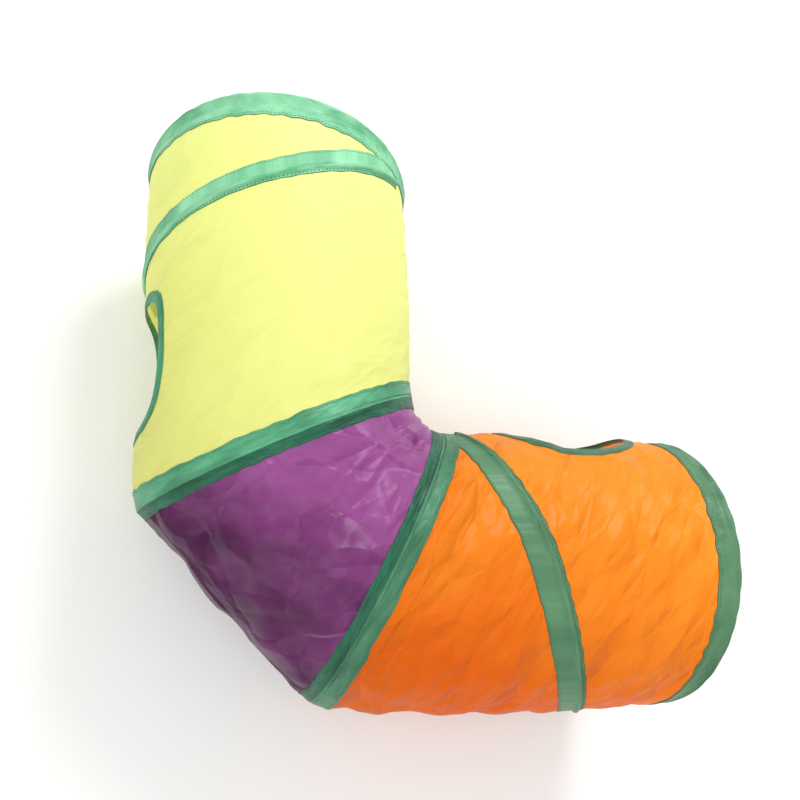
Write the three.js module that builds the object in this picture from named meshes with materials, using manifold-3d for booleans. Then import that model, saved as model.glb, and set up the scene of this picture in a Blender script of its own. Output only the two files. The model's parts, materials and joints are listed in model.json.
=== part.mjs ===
// A folding play tunnel for cats and small dogs: two round fabric tubes joined by a wedge-shaped
// fabric elbow, lying on the floor in an L. Four spring-wire hoops and two spiral wires, each sewn
// into a binding tape, hold the fabric open. Millimetres, +Z up, the floor at Z = 0.
import * as THREE from "three";
import { LoftGeometry } from "three/addons/geometries/LoftGeometry.js";
import { mergeVertices } from "three/addons/utils/BufferGeometryUtils.js";
import Module from "manifold-3d";

const wasm = await Module();
wasm.setup();

// ---------- driving dimensions ----------

const HOOP_RADIUS = 121.5; // centre line of the wire of every hoop
const ELBOW_STRETCH = 1.106; // the elbow hoops are pulled wider than they are high
const STEPS = 40; // straight lengths that each hoop is drawn with

// Each hoop stands on the floor: its plan place, the way it faces in plan (degrees from +X),
// how far its top leans that way, and how much wider than high it is pulled.
const HOOP_PLACES = {
  yellow_end: { x: -120, y: 202, faces: 84, leans: 24, stretch: 1 },
  yellow_elbow: { x: -117, y: -55, faces: 113.5, leans: 0, stretch: ELBOW_STRETCH },
  orange_elbow: { x: -25, y: -155, faces: -26.5, leans: 0, stretch: ELBOW_STRETCH },
  orange_end: { x: 244, y: -161, faces: -1, leans: 16, stretch: 1 },
};

const FABRIC_HALF = 0.5; // half the thickness of the fabric walls
const WIRE_RADIUS = 1.0;
const WIRE_SIDES = 6;
// From the middle of the fabric up to the middle of the wire that lies on it.
const SEATS = { elbow: 2.4, end: 1.6, spiral: 1.8 };
const FERRULE = { inner: 1.15, outer: 1.6, length: 13, sides: 12 };
const FERRULE_STEP = 35; // the straight length of the hoop that the ferrule sits on, at its foot

const TAPE_UNDER = 0.85; // underside and top of a tape, from the middle of the fabric
const TAPE_TOP = 1.65;
const HOOP_POCKET = 1.9; // half width of the pocket round a hoop's wire and its ferrule
const SPIRAL_POCKET = 1.3;
const POCKET_WALL = 0.7;
const END_TAPE_WIDTH = 24; // outside, from the hoop's wire inwards
const END_TAPE_TURNED_IN = 14; // the part of the end tape that is folded to the inside
const ELBOW_TAPE_WIDTH = 19; // from the elbow's wire out over the tube
const BEND_TAPE_WIDTH = 12; // from the elbow's wire in over the elbow's own fabric
const SPIRAL_TAPE_WIDTH = 12; // on each side of the spiral's wire
const TAPE_GAP = 0.4; // between one tape's edge and the next tape
const FABRIC_EDGE_GAP = 0.6; // between a fabric's cut edge and the seam
const FLOOR_FLAT = 0.3; // depth of the flat that the floor presses on each hoop's tape

// How far along its tube each spiral is at every quarter turn, from the elbow's hoop (0) to the
// end hoop (1). The turn starts on the inner side of the bend and goes over the top.
const SPIRAL_RISE = {
  yellow: [1, 0.79, 0.69, 0.55, 0],
  orange: [0, 0.42, 0.74, 0.93, 1],
};

// The peep holes: the middle along the tube, the turn it is at, and half its length and height.
const PEEP_HOLES = {
  yellow: { along: 0.385, turn: 179, halfLength: 59, halfHeight: 52 },
  orange: { along: 0.555, turn: 5, halfLength: 59, halfHeight: 56 },
};
const HOLE_STEPS = 32;
const BINDING = { width: 7, slot: 1.1, thickness: 0.8, edgeGap: 1.2, web: 1.2 };

const COLOURS = {
  yellow: 0xf4f896,
  purple: 0x9c679a,
  orange: 0xf58f2c,
  green: 0x4fa987,
  steel: 0x8f9499,
};

// ---------- solids ----------

const vector = (x, y, z) => new THREE.Vector3(x, y, z);

function solidOf(geometry) {
  const bare = geometry.index ? geometry.toNonIndexed() : geometry.clone();
  bare.deleteAttribute("normal");
  bare.deleteAttribute("uv");
  const merged = mergeVertices(bare, 1e-4);
  const triVerts = new Uint32Array(merged.index.array);
  const vertProperties = merged.attributes.position.array;
  return new wasm.Manifold(new wasm.Mesh({ numProp: 3, vertProperties, triVerts }));
}

function geometryOf(solid) {
  const mesh = solid.getMesh();
  const geometry = new THREE.BufferGeometry();
  geometry.setAttribute("position", new THREE.BufferAttribute(mesh.vertProperties, 3));
  geometry.setIndex(new THREE.BufferAttribute(mesh.triVerts, 1));
  geometry.computeVertexNormals();
  return geometry;
}

const centreOf = (row) =>
  row.reduce((sum, p) => sum.add(p), vector(0, 0, 0)).divideScalar(row.length);

// Whether a section's points run anticlockwise when seen from the next section.
function facesNext(row, next) {
  const centre = centreOf(row);
  const normal = vector(0, 0, 0);
  row.forEach((p, i) => {
    const q = row[(i + 1) % row.length];
    normal.add(p.clone().sub(centre).cross(q.clone().sub(centre)));
  });
  return normal.dot(centreOf(next).sub(centre)) > 0;
}

// A solid through closed sections, with capped ends or joined into a ring.
function loft(sections, ring) {
  const rows = ring ? [...sections, sections[0]] : sections;
  const turned = facesNext(rows[0], rows[1]) ? rows : rows.map((row) => [...row].reverse());
  return solidOf(new LoftGeometry(turned, { capStart: !ring, capEnd: !ring }));
}

const floor = solidOf(new THREE.BoxGeometry(2000, 2000, 40).translate(0, 0, -20));

// ---------- hoops and fabric tubes ----------

const radians = THREE.MathUtils.degToRad;
const turns = Array.from({ length: STEPS }, (_, i) => (i * 360) / STEPS);

// The hoop's own directions: inner points to the inner side of the bend, up along its plane,
// and facing out of its tube's mouth.
function makeHoop(name) {
  const { x, y, faces, leans, stretch } = HOOP_PLACES[name];
  const level = vector(Math.cos(radians(faces)), Math.sin(radians(faces)), 0);
  const lean = radians(leans);
  const up = level.clone().multiplyScalar(Math.sin(lean)).add(vector(0, 0, Math.cos(lean)));
  const facing = level.clone().multiplyScalar(Math.cos(lean)).sub(vector(0, 0, Math.sin(lean)));
  const side = name.startsWith("yellow") ? 1 : -1;
  const inner = vector(level.y, -level.x, 0).multiplyScalar(side);
  const height = HOOP_RADIUS * Math.cos(lean) + HOOP_POCKET + POCKET_WALL - FLOOR_FLAT;
  const centre = vector(x, y, height);
  const seat = SEATS[name.split("_")[1]];
  // A point on the hoop's plane, this far out from the middle of its wire.
  const at = (turn, out) => {
    const c = Math.cos(radians(turn));
    const s = Math.sin(radians(turn));
    return centre
      .clone()
      .addScaledVector(inner, c * (HOOP_RADIUS * stretch + out))
      .addScaledVector(up, s * (HOOP_RADIUS + out));
  };
  const outward = (turn) => at(turn, 1).sub(at(turn, 0)).normalize();
  return {
    facing,
    outward,
    wire: (turn) => at(turn, 0),
    fabric: (turn) => at(turn, -seat),
    // over the seam: across along the facing direction, high above the fabric
    over: (turn, across, high) => at(turn, high - seat).addScaledVector(facing, across),
  };
}

const hoops = Object.fromEntries(Object.keys(HOOP_PLACES).map((n) => [n, makeHoop(n)]));

// The fabric between two hoops, drawn straight from each point of one to the same turn of the other.
function makeTube(from, to) {
  const span = (turn) => to.fabric(turn).sub(from.fabric(turn));
  const at = (along, turn) => from.fabric(turn).addScaledVector(span(turn), along);
  const middle = (along) => at(along, 0).add(at(along, 180)).multiplyScalar(0.5);
  const outward = (along, turn) => {
    const around = at(along, turn + 1).sub(at(along, turn - 1));
    const normal = around.cross(span(turn)).normalize();
    return normal.dot(at(along, turn).sub(middle(along))) < 0 ? normal.negate() : normal;
  };
  return {
    span,
    // a point of the wall, lifted outwards
    wall: (along, turn, lift) => at(along, turn).addScaledVector(outward(along, turn), lift),
    // a point this far into the tube from one of its hoops, lifted outwards
    from: (hoop, turn, distance, lift) => {
      const end = hoop === from ? 0 : 1;
      const into = span(turn).normalize().multiplyScalar(end ? -distance : distance);
      return at(end, turn).add(into).addScaledVector(outward(end, turn), lift);
    },
  };
}

const tubes = {
  yellow: makeTube(hoops.yellow_elbow, hoops.yellow_end),
  purple: makeTube(hoops.yellow_elbow, hoops.orange_elbow),
  orange: makeTube(hoops.orange_elbow, hoops.orange_end),
};

// ---------- spring wires ----------

const wireCircle = (point) =>
  Array.from({ length: WIRE_SIDES }, (_, i) => {
    const angle = (i * 2 * Math.PI) / WIRE_SIDES;
    return point(WIRE_RADIUS * Math.cos(angle), WIRE_RADIUS * Math.sin(angle));
  });

const between = (rowA, rowB, share) => rowA.map((p, i) => p.clone().lerp(rowB[i], share));

// A hoop's wire, open where its two ends butt inside the ferrule.
function hoopWire(hoop) {
  const rows = turns.map((turn) =>
    wireCircle((across, out) =>
      hoop.wire(turn).addScaledVector(hoop.outward(turn), out).addScaledVector(hoop.facing, across),
    ),
  );
  const before = rows[FERRULE_STEP];
  const after = rows[(FERRULE_STEP + 1) % STEPS];
  const round = [...rows.slice(FERRULE_STEP + 1), ...rows.slice(0, FERRULE_STEP + 1)];
  return loft([between(before, after, 0.51), ...round, between(before, after, 0.49)], false);
}

function ferrule(hoop) {
  const { inner, outer, length, sides } = FERRULE;
  const half = length / 2;
  const corners = [[inner, -half], [outer, -half], [outer, half], [inner, half], [inner, -half]];
  const profile = corners.map(([r, y]) => new THREE.Vector2(r, y));
  const start = hoop.wire(turns[FERRULE_STEP]);
  const end = hoop.wire(turns[FERRULE_STEP + 1]);
  const direction = end.clone().sub(start).normalize();
  const turned = new THREE.Quaternion().setFromUnitVectors(vector(0, 1, 0), direction);
  const sleeve = new THREE.LatheGeometry(profile, sides).applyQuaternion(turned);
  const middle = start.add(end).multiplyScalar(0.5);
  return solidOf(sleeve.translate(middle.x, middle.y, middle.z));
}

// How far along its tube a spiral is, at a turn from 0 to 360.
function spiralPlace(colour, turn) {
  const knots = SPIRAL_RISE[colour].map((along, i) => new THREE.Vector2(i, along));
  return new THREE.SplineCurve(knots).getPoint(turn / 360).y;
}

// Sections of a spiral piece: shape gives its outline for a function that places points by
// distance along the tube and lift off the fabric. A steep stretch is drawn out along the tube,
// so that the piece keeps its width.
function spiralRows(colour, shape) {
  const tube = tubes[colour];
  return [...turns, 360].map((turn) => {
    const long = tube.span(turn).length();
    const here = spiralPlace(colour, turn);
    const step = 360 / STEPS / 2;
    const low = Math.max(turn - step, 0);
    const high = Math.min(turn + step, 360);
    const rise = (spiralPlace(colour, high) - spiralPlace(colour, low)) * long;
    const drawnOut = Math.hypot(1, rise / (radians(high - low) * HOOP_RADIUS));
    return shape((across, lift) => tube.wall(here + (across * drawnOut) / long, turn, lift));
  });
}

const spiralWire = (colour) =>
  loft(
    spiralRows(colour, (place) => wireCircle((across, lift) => place(across, SEATS.spiral + lift))),
    false,
  );

// ---------- tapes ----------

// A tape with its wire in a ridge along its middle. left and right place points on the two
// sides by distance from the wire and lift, and over places points above the wire.
function ridgedTape(leftWidth, rightWidth, seat, pocket, left, right, over) {
  const pocketTop = seat + pocket;
  const ridgeTop = pocketTop + POCKET_WALL;
  const ridgeRoot = pocket + POCKET_WALL;
  const ridgeFoot = ridgeRoot + POCKET_WALL;
  return [
    left(leftWidth, TAPE_UNDER),
    left(ridgeRoot, TAPE_UNDER),
    over(-pocket, pocketTop),
    over(pocket, pocketTop),
    right(ridgeRoot, TAPE_UNDER),
    right(rightWidth, TAPE_UNDER),
    right(rightWidth, TAPE_TOP),
    right(ridgeFoot, TAPE_TOP),
    over(pocket, ridgeTop),
    over(-pocket, ridgeTop),
    left(ridgeFoot, TAPE_TOP),
    left(leftWidth, TAPE_TOP),
  ];
}

// The tape over an elbow hoop lies half on its tube and half on the elbow.
function elbowTape(colour) {
  const hoop = hoops[`${colour}_elbow`];
  const rows = turns.map((turn) =>
    ridgedTape(
      BEND_TAPE_WIDTH,
      ELBOW_TAPE_WIDTH,
      SEATS.elbow,
      HOOP_POCKET,
      (distance, lift) => tubes.purple.from(hoop, turn, distance, lift),
      (distance, lift) => tubes[colour].from(hoop, turn, distance, lift),
      (across, high) => hoop.over(turn, across, high),
    ),
  );
  return loft(rows, true).subtract(floor);
}

// The tape at a mouth is folded over the fabric's edge, with the wire in the fold.
function endTape(colour) {
  const hoop = hoops[`${colour}_end`];
  const wall = HOOP_POCKET + POCKET_WALL;
  const pocketTop = SEATS.end + HOOP_POCKET;
  const outline = [
    [END_TAPE_WIDTH, TAPE_TOP],
    [END_TAPE_WIDTH, TAPE_UNDER],
    [HOOP_POCKET + 0.3, TAPE_UNDER],
    [HOOP_POCKET, pocketTop],
    [-HOOP_POCKET, pocketTop],
    [-HOOP_POCKET, -0.3],
    [-0.5, -TAPE_UNDER],
    [END_TAPE_TURNED_IN, -TAPE_UNDER],
    [END_TAPE_TURNED_IN, -TAPE_TOP],
    [-1, -TAPE_TOP],
    [-wall, -0.6],
    [-wall, pocketTop],
    [-HOOP_POCKET, pocketTop + POCKET_WALL],
    [HOOP_POCKET, pocketTop + POCKET_WALL],
    [wall + POCKET_WALL, TAPE_TOP],
  ];
  const rows = turns.map((turn) => {
    // The hoop leans, so its wire isn't quite straight above the end of the wall.
    const offset = hoop.wire(turn).sub(tubes[colour].from(hoop, turn, 0, SEATS.end));
    return outline.map(([distance, lift]) => {
      const point = tubes[colour].from(hoop, turn, distance, lift);
      return distance > HOOP_POCKET ? point : point.add(offset);
    });
  });
  return loft(rows, true).subtract(floor);
}

// The ring of space that a hoop's tape takes up on its tube, and what lies past the hoop.
function roomForTape(colour, hoop, width) {
  const past = -2 * SPIRAL_TAPE_WIDTH;
  const corners = [[past, -1], [width, -1], [width, 9], [past, 9]];
  const rows = turns.map((turn) =>
    corners.map(([distance, lift]) => tubes[colour].from(hoop, turn, distance, lift)),
  );
  return loft(rows, true);
}

// What a spiral piece must stay clear of: the tapes of the hoops at both ends of its tube.
function clearOfHoops(solid, colour) {
  const atEnd = roomForTape(colour, hoops[`${colour}_end`], END_TAPE_WIDTH + TAPE_GAP);
  const atElbow = roomForTape(colour, hoops[`${colour}_elbow`], ELBOW_TAPE_WIDTH + TAPE_GAP);
  return solid.subtract(atEnd).subtract(atElbow);
}

function spiralTape(colour) {
  const rows = spiralRows(colour, (place) =>
    ridgedTape(
      SPIRAL_TAPE_WIDTH,
      SPIRAL_TAPE_WIDTH,
      SEATS.spiral,
      SPIRAL_POCKET,
      (distance, lift) => place(-distance, lift),
      (distance, lift) => place(distance, lift),
      place,
    ),
  );
  return loft(rows, false).subtract(floor);
}

// ---------- fabric walls and their peep holes ----------

// A point near a peep hole's rim: angle round the hole, distance outside the rim, and lift.
function rimPoint(colour, angle, outside, lift) {
  const { along, turn, halfLength, halfHeight } = PEEP_HOLES[colour];
  const tube = tubes[colour];
  const lengthwise = (halfLength + outside) * Math.cos(angle);
  const upward = (halfHeight + outside) * Math.sin(angle);
  const here = turn + THREE.MathUtils.radToDeg(Math.asin(upward / HOOP_RADIUS));
  return tube.wall(along + lengthwise / tube.span(here).length(), here, lift);
}

const holeAngles = Array.from({ length: HOLE_STEPS }, (_, i) => (i * 2 * Math.PI) / HOLE_STEPS);

function holeCutter(colour) {
  const ringAt = (lift) => holeAngles.map((a) => rimPoint(colour, a, BINDING.edgeGap, lift));
  return loft([ringAt(-20), ringAt(40)], false);
}

// The binding folded over the rim of a peep hole.
function holeBinding(colour) {
  const { width, slot, thickness, web } = BINDING;
  const face = slot + thickness;
  const outline = [
    [width, face], [width, slot], [-web + thickness, slot], [-web + thickness, -slot],
    [width, -slot], [width, -face], [-web, -face], [-web, face],
  ];
  const rows = holeAngles.map((a) =>
    outline.map(([outside, lift]) => rimPoint(colour, a, outside, lift)),
  );
  return loft(rows, true);
}

// A fabric wall from edge to edge. Its edge stops short of a seam, and inside the fold of an
// end tape it stops short of the wire's pocket.
function fabricWall(colour, startHoop, endHoop) {
  const tube = tubes[colour];
  const short = (hoop) => (hoop.endsWith("end") ? HOOP_POCKET + 1 : FABRIC_EDGE_GAP);
  const rows = turns.map((turn) => {
    const edge = (hoop, lift) => tube.from(hoops[hoop], turn, short(hoop), lift);
    return [
      edge(startHoop, -FABRIC_HALF),
      edge(endHoop, -FABRIC_HALF),
      edge(endHoop, FABRIC_HALF),
      edge(startHoop, FABRIC_HALF),
    ];
  });
  return loft(rows, true);
}

// ---------- the assembly ----------

const materials = {
  fabric: (colour) =>
    new THREE.MeshStandardMaterial({ color: COLOURS[colour], roughness: 0.55, metalness: 0 }),
  tape: () => new THREE.MeshStandardMaterial({ color: COLOURS.green, roughness: 0.5, metalness: 0 }),
  wire: () => new THREE.MeshStandardMaterial({ color: COLOURS.steel, roughness: 0.35, metalness: 1 }),
};

const tunnel = new THREE.Group();

function addPiece(name, solid, material) {
  const mesh = new THREE.Mesh(geometryOf(solid), material);
  mesh.name = name;
  tunnel.add(mesh);
}

for (const colour of ["yellow", "orange"]) {
  const wall = fabricWall(colour, `${colour}_elbow`, `${colour}_end`);
  addPiece(`${colour}_panel`, wall.subtract(holeCutter(colour)), materials.fabric(colour));
  addPiece(`${colour}_hole_binding`, holeBinding(colour), materials.tape());
  addPiece(`${colour}_end_casing`, endTape(colour), materials.tape());
  addPiece(`${colour}_elbow_casing`, elbowTape(colour), materials.tape());
  addPiece(`${colour}_spiral_casing`, clearOfHoops(spiralTape(colour), colour), materials.tape());
  addPiece(`${colour}_spiral_wire`, clearOfHoops(spiralWire(colour), colour), materials.wire());
  for (const place of ["end", "elbow"]) {
    const hoop = hoops[`${colour}_${place}`];
    addPiece(`${colour}_${place}_hoop`, hoopWire(hoop), materials.wire());
    addPiece(`${colour}_${place}_ferrule`, ferrule(hoop), materials.wire());
  }
}
addPiece("purple_panel", fabricWall("purple", "yellow_elbow", "orange_elbow"), materials.fabric("purple"));

// The origin is at the middle of the tunnel's box, on the floor.
const box = new THREE.Box3().setFromObject(tunnel);
const middle = box.getCenter(vector(0, 0, 0));
tunnel.position.set(-middle.x, -middle.y, -box.min.z);

export default tunnel;
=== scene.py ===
import json

import bpy
import numpy as np
from mathutils import Matrix, Vector


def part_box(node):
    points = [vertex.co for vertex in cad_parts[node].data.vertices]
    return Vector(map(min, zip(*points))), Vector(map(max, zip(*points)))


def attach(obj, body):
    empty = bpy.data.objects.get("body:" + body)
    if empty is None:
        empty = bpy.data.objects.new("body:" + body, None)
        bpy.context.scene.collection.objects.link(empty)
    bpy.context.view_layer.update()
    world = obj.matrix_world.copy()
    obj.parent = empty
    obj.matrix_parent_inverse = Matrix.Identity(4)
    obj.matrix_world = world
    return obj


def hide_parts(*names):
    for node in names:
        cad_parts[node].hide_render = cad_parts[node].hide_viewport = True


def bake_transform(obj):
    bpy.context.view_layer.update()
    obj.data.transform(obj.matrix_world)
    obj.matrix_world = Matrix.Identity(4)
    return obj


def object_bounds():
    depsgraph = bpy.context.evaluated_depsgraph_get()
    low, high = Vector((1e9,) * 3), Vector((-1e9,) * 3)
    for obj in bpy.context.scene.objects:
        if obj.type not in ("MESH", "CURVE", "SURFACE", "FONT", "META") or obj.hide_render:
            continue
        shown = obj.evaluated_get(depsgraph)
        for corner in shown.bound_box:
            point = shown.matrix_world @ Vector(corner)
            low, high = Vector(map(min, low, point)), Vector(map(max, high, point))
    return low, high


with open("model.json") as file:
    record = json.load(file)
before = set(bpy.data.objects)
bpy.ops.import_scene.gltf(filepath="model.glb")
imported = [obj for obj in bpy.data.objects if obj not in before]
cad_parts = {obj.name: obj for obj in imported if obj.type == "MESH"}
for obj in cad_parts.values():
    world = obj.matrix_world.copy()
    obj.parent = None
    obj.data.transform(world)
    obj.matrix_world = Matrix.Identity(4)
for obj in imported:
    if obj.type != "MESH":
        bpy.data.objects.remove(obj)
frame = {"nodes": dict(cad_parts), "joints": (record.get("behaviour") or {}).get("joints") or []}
box_at_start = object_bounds()

MM = 0.001

# ---------- sizes ----------

WIRE = 1.0 * MM
WIRE_FLAT = 0.866 * WIRE  # from the middle of the CAD's six-sided wire to its flat sides
SEAT = {"elbow": 2.4 * MM, "end": 1.6 * MM}  # from the fabric up to the middle of a hoop's wire
SPIRAL_SEAT = 1.8 * MM
# How wide the CAD's tapes are: from an elbow's wire out over the tube and in over the purple
# elbow, and from a mouth's wire back over the tube. The cloth under them goes with the hoop.
ELBOW_TAPE, BEND_TAPE, END_TAPE = 19 * MM, 12 * MM, 24 * MM
TAPED = {
    "yellow": (ELBOW_TAPE, END_TAPE),
    "purple": (BEND_TAPE, BEND_TAPE),
    "orange": (ELBOW_TAPE, END_TAPE),
}
# Each spiral tape's half width, and how far its wire runs from its middle towards the mouth.
SPIRAL_TAPE = {"yellow": 10.5 * MM, "orange": 11.5 * MM}
SPIRAL_RIDGE = {"yellow": -5.0 * MM, "orange": 6.0 * MM}
# How far along its tube each spiral is at every quarter turn, as in the CAD.
SPIRAL_RISE = {"yellow": [1, 0.79, 0.69, 0.55, 0], "orange": [0, 0.42, 0.74, 0.93, 1]}
# square: how far the slack cloth draws each round hole towards a rectangle (2 is round).
PEEP_HOLES = {
    "yellow": {"along": 0.385, "turn": 179, "half": (59 * MM, 52 * MM), "square": 4.0},
    "orange": {"along": 0.555, "turn": 5, "half": (59 * MM, 56 * MM), "square": 2.2},
}
CUT_HOLE = (59 * MM, 56 * MM)  # half the length and height of a hole in the flat cloth
# Where the springs push the cloth out past a straight line between its hoops: the turn and its
# spread in degrees, how far along and its spread as shares of the tube, and by how much.
BULGES = {
    "yellow": [
        (180, 46, 0.12, 0.15, 9 * MM),
        (185, 45, 0.8, 0.25, 4 * MM),
        (0, 60, 0.5, 0.45, 4.5 * MM),
    ],
    "purple": [
        (180, 50, 0.5, 0.3, 5 * MM),
        (185, 40, 0.1, 0.2, 3 * MM),
        (190, 40, 0.88, 0.2, 6 * MM),
        (28, 42, 0.5, 0.42, -5 * MM),
    ],
    "orange": [(180, 52, 0.42, 0.55, 14 * MM), (0, 50, 0.5, 0.45, 8 * MM)],
}
BULGE_START = 14 * MM  # from a hoop to where its cloth bulges in full
FLOOR_GAP = 0.7 * MM  # the lowest that cloth or tape hangs
SETTLED_GRID = (92, 272)  # points lengthwise and around while the cloth settles
FINISHED_GRID = (150, 440)

# ---------- hoops and tubes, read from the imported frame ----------

bend_corner = next(j for j in frame["joints"] if j["name"] == "elbow_fold")["pos_m"][:2]


def unit(v):
    return v / np.linalg.norm(v, axis=-1, keepdims=True)


def from_turn(turn, middle):
    """Degrees round from middle to turn, the short way."""
    return (turn - middle + 180) % 360 - 180


class Hoop:
    """A wire hoop of the frame: its middle, the way it faces out of its tube, and its size."""

    def __init__(self, name, tube_middle):
        co = np.array([v.co for v in frame["nodes"][f"{name}_hoop"].data.vertices])
        middle = co.mean(0)
        facing = np.linalg.svd(co - middle, full_matrices=False)[2][2]
        facing *= np.sign(facing @ (middle - tube_middle)) or 1
        inner = unit(np.array([facing[1], -facing[0], 0]))
        inner *= np.sign(inner[:2] @ (np.array(bend_corner) - middle[:2]))
        up = np.cross(facing, inner)
        up *= np.sign(up[2])
        reach = [(co @ axis).max() - (co @ axis).min() for axis in (inner, up)]
        at = [((co @ axis).max() + (co @ axis).min()) / 2 for axis in (inner, up)]
        self.facing, self.inner, self.up = facing, inner, up
        self.centre = at[0] * inner + at[1] * up + (middle @ facing) * facing
        self.half = [r / 2 - WIRE_FLAT for r in reach]
        self.seat = SEAT[name.split("_")[1]]

    def at(self, turn, out):
        """Points this far outside the wire's middle line. Turn 0 faces the inside of the bend."""
        turn, out = np.broadcast_arrays(turn, out)
        c, s = np.cos(np.radians(turn))[..., None], np.sin(np.radians(turn))[..., None]
        wide, high = self.half[0] + out[..., None], self.half[1] + out[..., None]
        return self.centre + c * wide * self.inner + s * high * self.up

    def over(self, turn, across, high):
        """Over the seam: across along the facing direction, and high above the fabric."""
        return self.at(turn, high - self.seat) + np.asarray(across)[..., None] * self.facing


def middle_of(node):
    low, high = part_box(node)
    return np.array((low + high) / 2)


hoops = {
    "yellow_end": Hoop("yellow_end", middle_of("yellow_panel")),
    "yellow_elbow": Hoop("yellow_elbow", middle_of("purple_panel")),
    "orange_elbow": Hoop("orange_elbow", middle_of("purple_panel")),
    "orange_end": Hoop("orange_end", middle_of("orange_panel")),
}


def keep_off_floor(points):
    points[..., 2] = np.maximum(points[..., 2], FLOOR_GAP)
    return points


def finer(grid, rows, cols):
    """A grid of points, whole around its columns, resampled smoothly."""
    def cubic(values, count, wraps):
        size = len(values)
        place = np.arange(count) * (size / count if wraps else (size - 1) / (count - 1))
        i = np.minimum(place.astype(int), size - 1 if wraps else size - 2)
        f = (place - i)[:, None, None]

        def pick(k):
            return values[k % size if wraps else np.clip(k, 0, size - 1)]

        a, b, c, d = pick(i - 1), pick(i), pick(i + 1), pick(i + 2)
        curve = 2 * a - 5 * b + 4 * c - d + f * (3 * (b - c) + d - a)
        return b + 0.5 * f * (c - a + f * curve)

    down = cubic(grid, rows, False)
    return cubic(down.transpose(1, 0, 2), cols, True).transpose(1, 0, 2)


class Tube:
    """The fabric between two hoops. Its surface is a grid of points: first sewn, straight from
    hoop to hoop and bulging, and later the settled and creased cloth."""

    def __init__(self, start, end, bulges):
        self.start, self.end = start, end
        self.set_grid(*SETTLED_GRID)
        self.set_points(self.ruled(self.along, self.turn))
        swell = sum(
            by * np.exp(
                -((from_turn(self.turn, turn) / wide) ** 2) - ((self.along - at) / long) ** 2
            )
            for turn, wide, at, long, by in bulges
        )
        swell = swell * np.clip(self.edge / BULGE_START, 0, 1) ** 0.7
        self.sewn = keep_off_floor(self.points + self.normals * swell[..., None])
        self.set_points(self.sewn)

    def set_grid(self, rows, cols):
        self.turns = np.arange(cols) * 360 / cols
        self.along, self.turn = np.meshgrid(np.linspace(0, 1, rows), self.turns, indexing="ij")
        self.edge = np.minimum(self.along, 1 - self.along) * self.length(self.turn)

    def set_points(self, points):
        self.points = points
        down = np.gradient(points, axis=0)
        around = np.roll(points, -1, 1) - np.roll(points, 1, 1)
        normal = unit(np.cross(around, down))
        middle = points.mean(1, keepdims=True)
        if ((points - middle) * normal).sum(-1).mean() < 0:
            normal = -normal
        self.normals = normal

    def refine(self, rows, cols):
        """Goes over to a finer grid of the same surface."""
        points = finer(self.points, rows, cols)
        self.set_grid(rows, cols)
        self.set_points(points)

    def ruled(self, along, turn):
        a, b = self.start.at(turn, -self.start.seat), self.end.at(turn, -self.end.seat)
        return a + (b - a) * np.asarray(along)[..., None]

    def length(self, turn):
        ends = self.ruled(1.0 + 0 * turn, turn) - self.ruled(0.0 * turn, turn)
        return np.linalg.norm(ends, axis=-1)

    def sample(self, grid, along, turn):
        along, turn = np.broadcast_arrays(np.asarray(along, float), np.asarray(turn, float))
        rows, cols = grid.shape[:2]
        v = np.clip(along, 0, 1) * (rows - 1)
        u = (turn % 360) / 360 * cols
        v0 = np.minimum(v.astype(int), rows - 2)
        u0 = u.astype(int) % cols
        fv, fu = (v - v0)[..., None], (u - np.floor(u))[..., None]
        u1 = (u0 + 1) % cols
        top = grid[v0, u0] * (1 - fu) + grid[v0, u1] * fu
        low = grid[v0 + 1, u0] * (1 - fu) + grid[v0 + 1, u1] * fu
        return top * (1 - fv) + low * fv

    def normal(self, along, turn):
        return unit(self.sample(self.normals, along, turn))

    def wall(self, along, turn, lift):
        """Points of the cloth's surface, lifted outwards."""
        point = self.sample(self.points, along, turn)
        return point + np.asarray(lift)[..., None] * self.normal(along, turn)

    def share(self, hoop, turn, distance):
        """How far along the tube a point this far from one of its hoops is."""
        share = np.asarray(distance) / self.length(turn)
        return share if hoop is self.start else 1 - share


tubes = {
    "yellow": Tube(hoops["yellow_elbow"], hoops["yellow_end"], BULGES["yellow"]),
    "purple": Tube(hoops["yellow_elbow"], hoops["orange_elbow"], BULGES["purple"]),
    "orange": Tube(hoops["orange_elbow"], hoops["orange_end"], BULGES["orange"]),
}
# The two CAD bodies at each tube's two ends, from its start to its end.
BODIES = {
    "yellow": ("yellow_elbow", "yellow_end"),
    "purple": ("yellow_elbow", "orange_elbow"),
    "orange": ("orange_elbow", "orange_end"),
}


def spiral_along(colour, turn):
    """A smooth curve through the quarter-turn knots."""
    knots = np.array(SPIRAL_RISE[colour], float)
    t = np.clip(np.asarray(turn, float), 0, 360) / 90
    i = np.minimum(t.astype(int), 3)
    f = t - i
    p0, p1 = knots[np.maximum(i - 1, 0)], knots[i]
    p2, p3 = knots[i + 1], knots[np.minimum(i + 2, 4)]
    curve = (2 * p0 - 5 * p1 + 4 * p2 - p3) * f**2 + (3 * p1 - p0 - 3 * p2 + p3) * f**3
    return 0.5 * (2 * p1 + (p2 - p0) * f + curve)


def spiral_gap(colour, tube):
    """How far each grid point lies from its tube's spiral wire."""
    if colour not in SPIRAL_RISE:
        return np.full(tube.turn.shape, 1.0)
    return np.abs(tube.along - spiral_along(colour, tube.turn)) * tube.length(tube.turn)


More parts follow.
